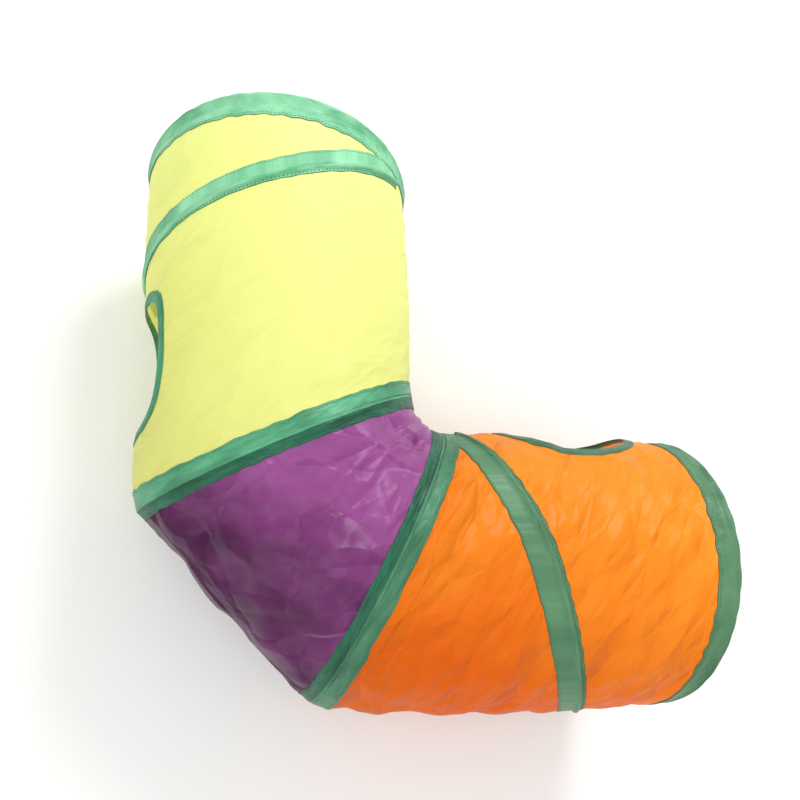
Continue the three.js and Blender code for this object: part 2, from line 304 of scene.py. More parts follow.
def hole_distance(colour, along, turn):
    """How far outside the rim of the peep hole a point of the wall is (negative inside)."""
    hole, tube = PEEP_HOLES[colour], tubes[colour]
    wide, high = hole["half"]
    x = (along - hole["along"]) * tube.length(turn) / wide
    swing = np.radians(from_turn(turn, hole["turn"]))
    facing = np.abs(swing) < 1.5  # on the hole's side of the tube
    y = np.where(facing, np.sin(swing) * tube.start.half[1], 1.0) / high
    power = hole["square"]
    return ((np.abs(x) ** power + np.abs(y) ** power) ** (1 / power) - 1) * (wide + high) / 2


def grid_faces(rows, cols, ring_rows=False, ring_cols=False):
    """Quads of a grid of points, joined round in either direction."""
    index = np.arange(rows * cols).reshape(rows, cols)
    if ring_rows:
        index = np.concatenate([index, index[:1]])
    if ring_cols:
        index = np.concatenate([index, index[:, :1]], 1)
    quads = [index[:-1, :-1], index[:-1, 1:], index[1:, 1:], index[1:, :-1]]
    return np.stack(quads, -1).reshape(-1, 4)


def only_used(faces, count):
    """The points that some faces use, and the faces counted in those points alone."""
    used = np.unique(faces)
    place = np.full(count, -1)
    place[used] = np.arange(len(used))
    return used, place[faces]


# ---------- settling the cloth ----------

random = np.random.default_rng(7)

# spare: extra cloth around and lengthwise, as shares. twist: degrees between a panel's ends.
# memory: the waves that packing pressed into the cloth: depth, shortest and longest, and how far
# they stray (degrees) from running round the tube. stiff: bending stiffness.
CLOTH = {
    "yellow": {
        "spare": (-0.001, 0.004), "twist": 0.3, "memory": (0.28 * MM, 16 * MM, 60 * MM, 20),
        "stiff": 5,
    },
    "purple": {
        "spare": (0.004, 0.010), "twist": 2.0, "memory": (1.2 * MM, 26 * MM, 110 * MM, 60),
        "stiff": 4,
    },
    "orange": {
        "spare": (-0.001, 0.008), "twist": 1.4, "memory": (0.8 * MM, 14 * MM, 60 * MM, 32),
        "stiff": 4,
    },
}
# How far the cloth is sewn flat from a hoop, a spiral's wire and a hole's rim, and the length
# under which the inside of the elbow doesn't hang loose.
SEWN_AT_HOOP, SEWN_AT_SPIRAL, SEWN_AT_HOLE, TOO_SHORT = 5 * MM, 2.2 * MM, 5 * MM, 30 * MM
# The waves of packing start this far from where the cloth is sewn, or from a spiral's wire, and
# take this far to grow to their depth.
CALM, CALM_AT_SPIRAL, GROWN = 3 * MM, 11 * MM, 14 * MM
FRAMES = 26
FURTHEST = 9 * MM  # the most that the cloth may move while it settles


def waves(tube, size, shortest, longest, stray, count=40):
    """Smooth random waves over a tube's grid, whole around it, about size high, whose crests stray
    by some degrees from running round the tube. Short waves are shallower."""
    around = np.radians(tube.turn)
    down = tube.along * tube.length(np.array([180.0]))[0]
    total = np.zeros(tube.turn.shape)
    for _ in range(count):
        wave = random.uniform(shortest, longest)
        angle = np.radians(random.normal(90, stray))
        whole = np.round(2 * np.pi * tube.start.half[1] / wave * np.cos(angle))
        shift = random.uniform(0, 6.3)
        crest = np.sin(whole * around + 2 * np.pi * down / wave * np.sin(angle) + shift)
        total += crest * wave / longest * 1.6
    return total * size / np.sqrt(count / 2)


def fill_in(grid, known):
    """Spreads the known values of a grid smoothly over the rest."""
    filled = np.where(known[..., None], grid, 0)
    for _ in range(400):
        near = np.roll(filled, 1, 1) + np.roll(filled, -1, 1)
        near[1:-1] += filled[:-2] + filled[2:]
        near[1:-1] /= 4
        filled = np.where(known[..., None], grid, near)
    return filled


def loose_cloth(colour, tube):
    """A panel before it settles: a cloth object and the grid points that it has. It starts as it
    is sewn, and its rest shape is the cloth as it was cut, a little larger and twisted. Both have
    the waves of packing."""
    cut = CLOTH[colour]
    axis = tube.sewn.mean(1, keepdims=True)
    wider, longer = cut["spare"]
    rest = axis + (tube.sewn - axis) * (1 + wider) + (axis - axis[:1]) * longer
    rest = rest + tube.ruled(tube.along, tube.turn + tube.along * cut["twist"])
    rest = rest - tube.ruled(tube.along, tube.turn)
    loose = np.minimum(tube.edge - SEWN_AT_HOOP, spiral_gap(colour, tube) - SEWN_AT_SPIRAL)
    if colour == "purple":
        loose = np.minimum(loose, tube.length(tube.turn) - TOO_SHORT)
    quads = grid_faces(*tube.turn.shape, ring_cols=True)
    if colour in PEEP_HOLES:
        outside = hole_distance(colour, tube.along, tube.turn)
        quads = quads[(outside.ravel() > 0)[quads].any(1)]
        loose = np.minimum(loose, outside - SEWN_AT_HOLE)
    used, quads = only_used(quads, tube.turn.size)
    from_calm = np.minimum(loose - CALM, spiral_gap(colour, tube) - CALM_AT_SPIRAL)
    waver = np.clip(from_calm / GROWN, 0, 1)
    wavy = tube.normals * (waves(tube, *cut["memory"]) * waver)[..., None]
    mesh = bpy.data.meshes.new(f"{colour}_cloth")
    mesh.from_pydata((tube.sewn + wavy).reshape(-1, 3)[used].tolist(), [], quads.tolist())
    ob = bpy.data.objects.new(mesh.name, mesh)
    bpy.context.scene.collection.objects.link(ob)
    ob.shape_key_add(name="sewn in")
    key = ob.shape_key_add(name="as cut", from_mix=False)
    key.data.foreach_set("co", (rest + wavy).reshape(-1, 3)[used].ravel())
    group = ob.vertex_groups.new(name="sewn")
    group.add(np.flatnonzero((loose < 0).ravel()[used]).tolist(), 1.0, "REPLACE")
    cloth = ob.modifiers.new("cloth", "CLOTH")
    how = cloth.settings
    how.vertex_group_mass = group.name
    how.rest_shape_key = key
    how.quality = 5
    # Every point weighs this, which is too much for thin cloth on a fine grid: low gravity makes
    # up for it.
    how.mass = 0.12
    how.effector_weights.gravity = 0.008
    how.tension_stiffness = how.compression_stiffness = 25
    how.shear_stiffness = 12
    how.bending_stiffness = cut["stiff"]
    how.tension_damping = how.compression_damping = how.shear_damping = 8
    how.air_damping = 4
    cloth.collision_settings.use_collision = False
    cloth.point_cache.frame_start, cloth.point_cache.frame_end = 1, FRAMES
    return ob, used


def settle():
    """Lets the cloth, sewn to the hoops, the spirals and the holes' rims, find its shape."""
    scene = bpy.context.scene
    cloths = {colour: loose_cloth(colour, tube) for colour, tube in tubes.items()}
    for step in range(1, FRAMES + 1):
        scene.frame_set(step)
    graph = bpy.context.evaluated_depsgraph_get()
    for colour, (ob, used) in cloths.items():
        tube = tubes[colour]
        settled = ob.evaluated_get(graph).data
        co = np.empty(len(settled.vertices) * 3)
        settled.vertices.foreach_get("co", co)
        moved = np.zeros((tube.turn.size, 3))
        moved[used] = co.reshape(-1, 3) - tube.sewn.reshape(-1, 3)[used]
        moved = moved.reshape(tube.sewn.shape)
        reach = np.linalg.norm(moved, axis=-1, keepdims=True)
        moved *= np.minimum(1, FURTHEST / np.maximum(reach, 1e-9))
        if colour in PEEP_HOLES:
            known = hole_distance(colour, tube.along, tube.turn) > SEWN_AT_HOLE
            moved = fill_in(moved, known)
        tube.set_points(tube.sewn + moved)
        bpy.data.objects.remove(ob)
    scene.frame_set(1)


# ---------- creases ----------

# Folds left from packing, for each panel: how many, how deep, wide and long in mm, the way they
# run (degrees from straight round) with its spread, and the depth of the flat facets they bound.
FOLDS = {
    "yellow": {
        "many": 30, "deep": (0.1, 0.4), "wide": (2, 5), "long": (25, 90), "run": (4, 22),
        "facet": 0.2 * MM,
    },
    "purple": {
        "many": 110, "deep": (0.2, 1.1), "wide": (1.2, 4), "long": (18, 110), "run": (60, 60),
        "facet": 1.1 * MM,
    },
    "orange": {
        "many": 90, "deep": (0.2, 0.9), "wide": (1.2, 4), "long": (20, 85), "run": (12, 30),
        "facet": 0.6 * MM,
    },
}
GATHERS = 45  # short folds where a panel is gathered into its two tapes


def crease(tube, x, y, length, angle, deep, wide):
    """A sharp fold left in the cloth: x degrees round, y along, running at an angle from round."""
    dx = np.radians(from_turn(tube.turn, x)) * tube.start.half[1]
    dy = (tube.along - y) * tube.length(tube.turn)
    c, s = np.cos(np.radians(angle)), np.sin(np.radians(angle))
    run, off = dx * c + dy * s, -dx * s + dy * c
    bow = off + 0.12 * run**2 / length
    taper = np.clip(1 - (run / (length / 2)) ** 2, 0, 1) ** 1.2
    return deep * taper * np.exp(-np.abs(bow) / wide)


def crumple(colour, tube):
    """How far each point of the cloth stands out or in for its facets, folds and gathers."""
    folds = FOLDS[colour]
    # The facets are long waves in every direction, folded over where they cross zero.
    total = np.abs(waves(tube, folds["facet"], 55 * MM, 150 * MM, 70, 12))
    total = total - np.abs(waves(tube, folds["facet"], 45 * MM, 130 * MM, 70, 12))
    for _ in range(folds["many"]):
        total = total + crease(
            tube, random.uniform(0, 360), random.uniform(0.08, 0.92),
            random.uniform(*folds["long"]) * MM, random.normal(*folds["run"]),
            random.choice([-1, 1]) * random.uniform(*folds["deep"]) * MM,
            random.uniform(*folds["wide"]) * MM,
        )
    first, last = TAPED[colour]
    long = tube.length(tube.turn)
    room = np.minimum(tube.along * long - first, (1 - tube.along) * long - last)
    free = np.clip((room + 2 * MM) / (12 * MM), 0, 1)
    room = spiral_gap(colour, tube) - SPIRAL_TAPE.get(colour, 0)
    free = free * np.clip((room + 2 * MM) / (10 * MM), 0, 1)
    pull = 0
    for _ in range(GATHERS):
        near = random.choice([0.0, 1.0])
        turn = random.uniform(0, 360)
        tape = (first if near == 0 else last) / tube.length(np.array([turn]))[0]
        y = near + (tape + random.uniform(0, 0.05)) * (1 if near == 0 else -1)
        pull = pull + crease(
            tube, turn, y, random.uniform(14, 40) * MM, random.normal(90, 26),
            random.uniform(0.1, 0.45) * MM, random.uniform(1.5, 4) * MM,
        )
    return total * free + pull * np.clip(free * 3, 0, 1)


settle()

for colour, tube in tubes.items():
    tube.refine(*FINISHED_GRID)
    out_by = crumple(colour, tube)[..., None]
    tube.set_points(keep_off_floor(tube.points + tube.normals * out_by))


# ---------- meshes ----------

def follows_end(colour, along, turn):
    """How far a point of this tube follows its end hoop (1) or its start hoop (0). What a tape
    covers goes with its hoop, as long as the tube is long enough there to leave some to bend."""
    length = tubes[colour].length(turn)
    first, last = (np.minimum(t + 1.5 * MM, 0.42 * length) / length for t in TAPED[colour])
    t = np.clip((along - first) / (1 - first - last), 0, 1)
    return t * t * (3 - 2 * t)


def new_mesh(name, points, faces, materials, material_index=None, uv=None, around=(9, 9)):
    """around: how far the uv of a piece runs before it meets itself, so that its last quads close
    (9 m is never met)."""
    mesh = bpy.data.meshes.new(name)
    mesh.from_pydata(points.reshape(-1, 3).tolist(), [], np.asarray(faces).tolist())
    for material in materials:
        mesh.materials.append(material)
    if material_index is not None:
        mesh.polygons.foreach_set("material_index", np.asarray(material_index, np.int32))
    mesh.polygons.foreach_set("use_smooth", np.full(len(mesh.polygons), True))
    if uv is not None:
        layer = mesh.uv_layers.new(name="cloth")
        corner = np.empty(len(mesh.loops), np.int32)
        mesh.loops.foreach_get("vertex_index", corner)
        placed = uv.reshape(-1, 2)[corner].reshape(-1, 4, 2)
        for axis in (0, 1):
            value = placed[..., axis]
            closing = np.ptp(value, axis=1) > around[axis] / 2
            value[closing] += np.where(value[closing] < around[axis] / 2, around[axis], 0)
        layer.data.foreach_set("uv", placed.ravel())
    mesh.validate()
    mesh.update()
    ob = bpy.data.objects.new(name, mesh)
    bpy.context.scene.collection.objects.link(ob)
    return ob


def bend(ob, colour, weight):
    """Bakes a piece's placement into its points, after picking out its tube's bodies and weights.
    """
    a, b = BODIES[colour]
    if colour == "purple":
        a, b, weight = b, a, 1 - weight
    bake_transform(ob)


# ---------- materials ----------

def nodes_of(name):
    material = bpy.data.materials.new(name)
    material.use_nodes = True
    tree = material.node_tree
    return material, tree, tree.nodes["Principled BSDF"], tree.nodes["Material Output"]


def feed(tree, socket, value):
    """Gives an input its value, or links it to an output, or to the first output of a node."""
    if isinstance(value, bpy.types.Node):
        value = value.outputs[0]
    if isinstance(value, bpy.types.NodeSocket):
        tree.links.new(value, socket)
    else:
        socket.default_value = value


def add(tree, kind, *fed, **named):
    """A new node: fed goes to its inputs in their order, named to inputs or settings."""
    node = tree.nodes.new(kind)
    for socket, value in zip(node.inputs, fed):
        feed(tree, socket, value)
    for name, value in named.items():
        if name in node.inputs:
            feed(tree, node.inputs[name], value)
        else:
            setattr(node, name, value)
    return node


def ramp(tree, factor, first, last, start=0.0, end=1.0):
    node = add(tree, "ShaderNodeValToRGB", factor)
    elements = node.color_ramp.elements
    elements[0].position, elements[1].position = start, end
    elements[0].color, elements[1].color = first, last
    return node


def linear(rgb):
    c = np.array(rgb, float) / 255
    return (*np.where(c < 0.04045, c / 12.92, ((c + 0.055) / 1.055) ** 2.4), 1.0)


LIT_SIDE = (0.35, 0.5, 0.35)  # painted light: the way the cloth is painted paler, over each piece's own box
LITTLE = 2.6  # how much closer together the little creases are than the large ones


def cloth_material(
    name, colour, deeper, sheen, rough, glow, weave=0.00055, crumple=0.25, shine=0.3, patch=14.0,
    grain=(1, 1), crease_sheen=0.0, mottle=1.0, painted_light=0.0, creases=26.0,
):
    """Thin woven polyester: two tones in patches, more or less mottled, and painted paler on the
    side towards the light (painted light), a weave, fine creases whose lines are drawn out by grain
    and painted paler here and there (a painted sheen), and some light let through."""
    material, tree, bsdf, out = nodes_of(name)
    cloth = add(tree, "ShaderNodeUVMap", uv_map="cloth")
    drawn = add(
        tree, "ShaderNodeMapping", Vector=cloth, Rotation=(0, 0, 0.12), Scale=(*grain, 1)
    )

    # Patches of two tones at random, painted paler towards the lit side: painted light.
    patches = add(tree, "ShaderNodeTexNoise", drawn, Scale=patch, Detail=4.0, Roughness=0.6)
    place = add(tree, "ShaderNodeTexCoord").outputs["Generated"]
    towards_light = add(tree, "ShaderNodeVectorMath", place, LIT_SIDE, operation="DOT_PRODUCT")
    least = 0.5 - 0.5 * mottle
    paler = add(
        tree, "ShaderNodeMapRange", towards_light.outputs["Value"], 0.7, 1.7, least, least + painted_light,
        clamp=False,
    )
    tone = add(
        tree, "ShaderNodeMath", patches, mottle, paler, operation="MULTIPLY_ADD", use_clamp=True
    )
    dye_and_light = ramp(tree, tone, linear(deeper), linear(colour), 0.33, 0.67)

    # Creases, large and little, along slightly crooked lines.
    bent = add(tree, "ShaderNodeTexNoise", drawn, Scale=9.0, Detail=3.0)
    crooked = add(
        tree, "ShaderNodeVectorMath", bent.outputs["Color"], (0.05, 0.05, 0), drawn,
        operation="MULTIPLY_ADD",
    )
    large, little = (
        add(tree, "ShaderNodeTexVoronoi", crooked, feature="DISTANCE_TO_EDGE", Scale=scale)
        for scale in (creases, creases * LITTLE)
    )
    fold = add(tree, "ShaderNodeMath", little, 0.3, large, operation="MULTIPLY_ADD")

    # The large ones are painted paler here and there: a painted sheen.
    line = add(tree, "ShaderNodeMapRange", large, 0.014, 0.0)
    here_and_there = add(tree, "ShaderNodeMapRange", bent, 0.48, 0.7, 0.0, crease_sheen)
    lines = add(tree, "ShaderNodeMath", line, here_and_there, operation="MULTIPLY")
    pale = linear([c + (255 - c) * 0.45 for c in colour])
    seen = add(tree, "ShaderNodeMixRGB", lines, dye_and_light, pale)

    threads = [
        add(
            tree, "ShaderNodeTexWave", cloth, bands_direction=way, Scale=0.314 / weave,
            Distortion=0.4,
        ).outputs["Fac"]
        for way in ("X", "Y")
    ]
    woven = add(tree, "ShaderNodeMath", *threads, operation="MULTIPLY")
    small = add(tree, "ShaderNodeBump", Strength=0.06, Distance=0.0002, Height=woven)
    big = add(
        tree, "ShaderNodeBump", Strength=1.0, Distance=crumple / creases, Height=fold,
        Normal=small,
    )
    for socket, value in (
        ("Base Color", seen), ("Normal", big), ("Roughness", rough), ("Sheen Weight", sheen),
        ("Sheen Roughness", 0.4), ("Specular IOR Level", shine),
    ):
        feed(tree, bsdf.inputs[socket], value)
    through = add(tree, "ShaderNodeBsdfTranslucent", Color=seen, Normal=big)
    both = add(tree, "ShaderNodeMixShader", glow, bsdf, through)
    feed(tree, out.inputs["Surface"], both)
    return material


def metal_material(name, colour, rough):
    material, tree, bsdf, _ = nodes_of(name)
    place = add(tree, "ShaderNodeTexCoord").outputs["Object"]
    noise = add(tree, "ShaderNodeTexNoise", place, Scale=900.0, Detail=3.0)
    drawn = ramp(tree, noise, linear([c * 0.8 for c in colour]), linear(colour))
    for socket, value in (("Base Color", drawn), ("Metallic", 1.0), ("Roughness", rough)):
        feed(tree, bsdf.inputs[socket], value)
    return material


ROUND = (0.5, 1)  # creases drawn out round a tube
fabric_of = {
    "yellow": cloth_material(
        "yellow cloth", (239, 244, 152), (232, 236, 136), 0.05, 0.55, 0.35, crumple=0.13,
        patch=9.0, grain=ROUND, mottle=0.3, painted_light=0.5, creases=22.0,
    ),
    "purple": cloth_material(
        "purple cloth", (138, 66, 130), (68, 0, 60), 0.04, 0.38, 0.08, crumple=0.28, shine=0.26,
        patch=7.0, crease_sheen=0.35, mottle=0.9, painted_light=0.95, creases=7.5,
    ),
    "orange": cloth_material(
        "orange cloth", (248, 148, 34), (234, 106, 0), 0.0, 0.4, 0.35, crumple=0.32, shine=0.2,
        patch=12.0, grain=ROUND, mottle=0.5, painted_light=0.8, creases=20.0,
    ),
}
# The thin tape takes some of the colour that it lies on, and is darker where it is doubled.
tape_over = {
    what: cloth_material(
        f"tape {where}", colour, deeper, 0.1, 0.4, 0.25, 0.0007, 0.2, patch=40.0,
        grain=(0.4, 1.4), crease_sheen=0.3, creases=45.0,
    )
    for what, where, colour, deeper in (
        ("yellow", "over yellow", (172, 240, 196), (84, 174, 124)),
        # Over the purple it is darker partly from the purple through it and partly as painted
        # shade.
        ("orange", "over orange", (106, 156, 116), (72, 120, 86)),
        ("purple", "over purple in shade", (48, 124, 92), (18, 74, 52)),
        ("yellow seam", "at yellow elbow", (104, 188, 144), (62, 138, 100)),
        ("orange seam", "at orange elbow", (86, 150, 114), (58, 112, 82)),
        ("yellow rim", "at yellow hole", (76, 168, 122), (40, 118, 84)),
        ("orange rim", "at orange hole", (78, 140, 104), (46, 96, 70)),
    )
}
# The hems' darker green is painted shade along the folds at the tapes' edges.
hem_shade = cloth_material(
    "green hem shade", (38, 112, 80), (28, 92, 66), 0.1, 0.5, 0.15, weave=0.0007, crumple=0.1
)
thread = cloth_material(
    "green thread", (58, 128, 98), (44, 104, 80), 0.2, 0.6, 0.0, crumple=0.0
)
steel = metal_material("spring steel", (150, 154, 160), 0.32)
sleeve = metal_material("crimped sleeve", (168, 170, 172), 0.42)

# ---------- fabric panels ----------

for colour, tube in tubes.items():
    along, turn = tube.along, tube.turn
    faces = grid_faces(*turn.shape, ring_cols=True)
    if colour in PEEP_HOLES:
        inside = (hole_distance(colour, along, turn) < 0).ravel()
        faces = faces[~inside[faces].all(1)]
    used, faces = only_used(faces, turn.size)
    radius = tube.start.half[1]
    uv = np.stack([np.radians(turn) * radius, along * tube.length(turn)], -1)
    panel = new_mesh(
        f"{colour}_fabric", tube.points.reshape(-1, 3)[used], faces, [fabric_of[colour]],
        uv=uv.reshape(-1, 2)[used], around=(2 * np.pi * radius, 9),
    )
    bend(panel, colour, follows_end(colour, along, turn).ravel()[used])
    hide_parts(f"{colour}_panel")


# ---------- tapes ----------

AROUND, RIM_AROUND = 480, 240  # points round a tube and round a hole
tape_turns = np.arange(AROUND) * 360 / AROUND
UNDER, TOP = 0.25 * MM, 0.8 * MM  # a tape's two faces, above the cloth
STITCH = {"every": 3.6 * MM, "long": 2.3 * MM, "thick": 0.42 * MM}
SEED = {"yellow": 11, "orange": 23}


def soft_noise(count, size, seed, low=9, high=50):
    """A smooth random line that closes on itself."""
    local = np.random.default_rng(seed)
    t = np.arange(count) / count * 2 * np.pi
    times = local.integers(low, high, 14)
    return size * sum(np.sin(w * t + local.uniform(0, 6.3)) / np.sqrt(7) for w in times)


def stitches(points, normals, closed):
    """A row of stitches along a line of points: short raised threads, three-sided, that dip in at
    both ends. Also how far along the line each of them is."""
    line = np.concatenate([points, points[:1]]) if closed else points
    up = np.concatenate([normals, normals[:1]]) if closed else normals
    step = np.linalg.norm(np.diff(line, axis=0), axis=1)
    place = np.concatenate([[0], np.cumsum(step)])
    every, long, thick = STITCH["every"], STITCH["long"], STITCH["thick"]
    count = int(place[-1] / every)
    starts = (np.arange(count) + 0.5) * place[-1] / count - long / 2

    def on_line(values, where):
        return np.stack([np.interp(where, place, values[:, k]) for k in range(3)], -1)

    corners = []
    for part, high in ((0, -0.5), (0.25, 0.6), (0.75, 0.6), (1, -0.5)):
        where = starts + part * long
        p, n = on_line(line, where), unit(on_line(up, where))
        side = unit(np.cross(on_line(line, where + 0.1 * MM) - p, n))
        for a, b in ((-0.5, -0.3), (0.5, -0.3), (0, 0.5)):
            corners.append(p + side * a * thick + n * (high * 0.5 + b) * thick)
    one = grid_faces(4, 3, ring_cols=True)
    faces = one[None] + (np.arange(count) * 12)[:, None, None]
    return np.stack(corners, 1).reshape(-1, 3), faces.reshape(-1, 4), starts / place[-1]


def tape_piece(
    name, section, node, bodies, over, seams, weights=None, ring=True, hems=(), elbow=()
):
    """A tape from its outline at every turn (rows, points, 3), over cloth of one colour. seams are
    the lines of its rows of stitches with their normals, hems are the outline's strips that are
    folded under and painted darker as shade, and elbow are those that lie over the purple elbow.
    It rides on a body, or with weights its placement is baked into its points."""
    rows, cols = section.shape[:2]
    faces = [grid_faces(rows, cols, ring_rows=ring, ring_cols=True)]
    strip = np.arange(len(faces[0])) % cols
    # Materials: 0 the tape, 1 its stitches, 2 its hems, whose darker green is painted shade, 3 its
    # part over the elbow, darker partly as painted shade.
    index = [np.where(np.isin(strip, hems), 2, np.where(np.isin(strip, elbow), 3, 0))]
    points = [section.reshape(-1, 3)]
    run, wide = (
        np.concatenate([[0], np.cumsum(np.linalg.norm(np.diff(line, axis=0), axis=1))])
        for line in (section[:, 0], section[0])
    )
    uv = [np.stack(np.meshgrid(run, wide, indexing="ij"), -1).reshape(-1, 2)]
    share = [None if weights is None else weights.ravel()]
    if not ring:
        cap = np.array([[k, k + 1, cols - 2 - k, cols - 1 - k] for k in range(cols // 2 - 1)])
        faces += [cap, cap[:, ::-1] + (rows - 1) * cols]
        index += [np.zeros(len(cap))] * 2
    count = rows * cols
    for line, normal in seams:
        co, quads, place = stitches(line, normal, closed=ring)
        points.append(co)
        faces.append(quads + count)
        index.append(np.ones(len(quads)))
        uv.append(np.zeros((len(co), 2)))
        if weights is not None:
            grown = np.interp(place * (rows - 1), np.arange(rows), weights.mean(1))
            share.append(np.repeat(grown, 12))
        count += len(co)
    ob = new_mesh(
        name, np.concatenate(points), np.concatenate(faces),
        [tape_over[over], thread, hem_shade, tape_over["purple"]],
        np.concatenate(index), np.concatenate(uv), (run[-1] if ring else 9, wide[-1]),
    )
    if weights is None:
        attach(ob, bodies)
    else:
        bend(ob, bodies, np.concatenate(share))
    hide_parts(node)


def flange(tube, hoop, distances, lifts):
    """Outline points (turns, distances, 3) of the flat part of a tape, on the settled cloth."""
    return np.stack([
        tube.wall(tube.share(hoop, tape_turns, distance), tape_turns, lift)
        for distance, lift in zip(distances, lifts)
    ], 1)


def seam_on(tube, hoop, distance, lift):
    along = tube.share(hoop, tape_turns, distance)
    return tube.wall(along, tape_turns, lift), tube.normal(along, tape_turns)


def elbow_tape(colour):
    """The tape over an elbow's hoop: sewn down along both edges, with the wire lifting its
    middle."""
    tube, purple = tubes[colour], tubes["purple"]
    hoop, seed = hoops[f"{colour}_elbow"], SEED[colour]
    gather = soft_noise(AROUND, 0.07 * MM, seed + 1, 60, 130)
    out_by = ELBOW_TAPE - 3 * MM + soft_noise(AROUND, 0.4 * MM, seed)
    in_by = BEND_TAPE - 1 * MM + soft_noise(AROUND, 0.35 * MM, seed + 2)
    steps = (1.0, 0.972, 0.9, 0.75, 0.6, 0.45, 0.3, 0.18)
    lifts = [TOP * 0.4, TOP * 1.1, TOP, *(TOP + (1 - s) ** 1.5 * 3.6 * MM for s in steps[3:])]
    inner, outer = (
        flange(
            wall, hoop, [by * s for s in steps],
            [lift + gather * (1 - s) for lift, s in zip(lifts, steps)],
        )
        for wall, by in ((purple, in_by), (tube, out_by))
    )
    over, angles = 1.9 * MM, (150, 120, 90, 60, 30)
    ridge = [
        hoop.over(
            tape_turns, np.cos(a) * over, SEAT["elbow"] + np.sin(a) * over + gather * 0.4
        )
        for a in np.radians(angles)
    ]
    below = [
        flange(tube, hoop, [out_by, out_by * 0.5], [UNDER] * 2),
        hoop.over(tape_turns, 0, 0.1 * MM)[:, None],
        flange(purple, hoop, [in_by * 0.5, in_by], [UNDER] * 2),
    ]
    section = np.concatenate([inner, np.stack(ridge, 1), outer[:, ::-1], *below], 1)
    seams = [
        seam_on(wall, hoop, by * 0.85, TOP + 0.25 * MM + gather * 0.15)
        for wall, by in ((tube, out_by), (purple, in_by))
    ]
    tape_piece(
        f"{colour}_elbow_tape", keep_off_floor(section), f"{colour}_elbow_casing",
        f"{colour}_elbow", f"{colour} seam", seams,
        hems=(0, 2 * len(steps) + len(angles) - 2), elbow=range(len(steps) + 1),
    )


def end_tape(colour):
    """The tape at a mouth, folded over the fabric's edge with the hoop in the fold. It is narrower
    at the sides, where the cloth is pulled straighter."""
    tube, hoop, seed = tubes[colour], hoops[f"{colour}_end"], SEED[colour]
    gather = soft_noise(AROUND, 0.07 * MM, seed + 1, 60, 130)
    height = np.abs(np.sin(np.radians(tape_turns))) ** 0.8
    out_by = (11 + 7 * height) * MM + soft_noise(AROUND, 0.5 * MM, seed + 4)
    turned_in = 14 * MM + soft_noise(AROUND, 0.6 * MM, seed + 5)
    over = 2.4 * MM
    steps = (1.0, 0.975, 0.88, 0.7, 0.5, 0.32)
    lifts = [TOP * by for by in (0.4, 1.1, 1, 1.1, 1.4, 2)]
    top = flange(
        tube, hoop, [out_by * s for s in steps],
        [lift + gather * (1 - s) for lift, s in zip(lifts, steps)],
    )
    loose = np.abs(soft_noise(AROUND, 0.45 * MM, seed + 8, 5, 26))
    fold, angles = [], (150, 120, 90, 60, 30, 0, -12, -40, -80, -120)
    for a in np.radians(angles):
        out = over + loose * np.cos(a / 2)
        high = SEAT["end"] + np.sin(a) * out + gather * 0.3
        fold.append(hoop.over(tape_turns, np.cos(a) * out, high))
    start = over * 1.5
    section = np.concatenate([
        top, np.stack(fold, 1),
        flange(tube, hoop, [start, turned_in * 0.6, turned_in], [-TOP] * 3),
        flange(tube, hoop, [turned_in, start], [-UNDER] * 2),
        flange(tube, hoop, [start, out_by * 0.5, out_by], [UNDER] * 3),
    ], 1)
    seams = [
        seam_on(tube, hoop, distance, TOP * 1.25 + gather * 0.5)
        for distance in (5 * MM, out_by * 0.87)
    ]
    # Its hems, the edge and the outer fold over the wire, take the darker green: painted shadow.
    tape_piece(
        f"{colour}_end_tape", keep_off_floor(section), f"{colour}_end_casing", f"{colour}_end",
        colour, seams, hems=(0, len(steps) + angles.index(0)),
    )


